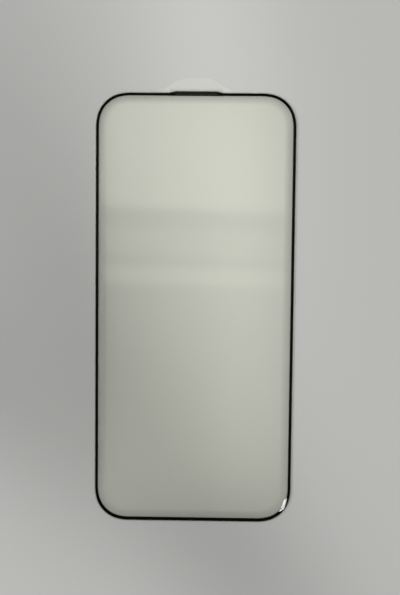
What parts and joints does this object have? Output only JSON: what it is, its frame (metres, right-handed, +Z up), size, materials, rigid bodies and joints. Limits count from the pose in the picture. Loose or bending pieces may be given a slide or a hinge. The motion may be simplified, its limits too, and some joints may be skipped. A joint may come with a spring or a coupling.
{
  "type": "phone screen protector",
  "caption": "Tempered-glass phone screen protector with a thin black border, curved edge, earpiece dust net and clear peel-off film with a pull tab.",
  "frame": {"origin": "on the lower face of the peel-off film, under the middle of the glass outline", "axes": "+Z up out of the glass face, +Y along the long side towards the earpiece notch and pull tab, +X to the right seen from above"},
  "size_m": [0.0688, 0.1523, 0.0007],
  "materials": {
    "tempered_glass": "polished",
    "black_ink": "screen-printed ink",
    "black_net": "woven net",
    "clear_glue": "clear silicone",
    "clear_film": "clear film"
  },
  "bodies": {
    "root": {"glass_pane": "tempered_glass", "border_print": "black_ink", "earpiece_mesh": "black_net", "adhesive_layer": "clear_glue", "release_liner": "clear_film"}
  },
  "joints": []
}
